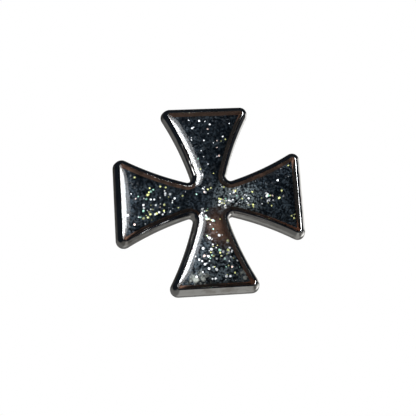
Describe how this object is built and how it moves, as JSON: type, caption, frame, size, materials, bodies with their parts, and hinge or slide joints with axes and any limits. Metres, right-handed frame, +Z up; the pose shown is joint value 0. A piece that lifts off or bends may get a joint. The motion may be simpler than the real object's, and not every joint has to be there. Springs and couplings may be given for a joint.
{
  "type": "enamel pin",
  "caption": "Cross-shaped enamel pin with flared arms, glitter enamel under a clear resin dome, a polished dark nickel rim, and a locking bar pin on the back.",
  "frame": {"origin": "the middle of the badge's flat back face", "axes": "+Y is straight out of the back, towards the cloth; the face looks along -Y; +Z is up, along the top arm, as the badge is worn; +X is to the right as the face is seen"},
  "size_m": [0.025, 0.0073, 0.025],
  "materials": {
    "dark_nickel": "polished dark nickel plate",
    "glitter_enamel": "blue-black enamel with silver and gold glitter",
    "clear_resin": "clear, glossy epoxy",
    "bright_nickel": "nickel plate with a fine brushed grain",
    "solder": "dull tin solder",
    "steel_wire": "drawn and polished spring steel wire"
  },
  "bodies": {
    "badge": {"badge_body": "dark_nickel", "enamel_fill": "glitter_enamel", "resin_dome": "clear_resin", "bar_plate": "bright_nickel", "solder_left": "solder", "solder_right": "solder", "hinge_rivet": "bright_nickel"},
    "stem": {"pin_stem": "steel_wire"},
    "catch": {"catch_sleeve": "bright_nickel"}
  },
  "joints": [
    {"name": "stem_hinge", "type": "hinge", "parent": "badge", "child": "stem", "pos_m": [-0.0086, 0.00235, 0], "axis": [0, 0, 1], "range_deg": [0, 95]},
    {"name": "catch_turn", "type": "hinge", "parent": "badge", "child": "catch", "pos_m": [0.0075, 0.00235, 0], "axis": [1, 0, 0], "range_deg": [0, 90]}
  ]
}
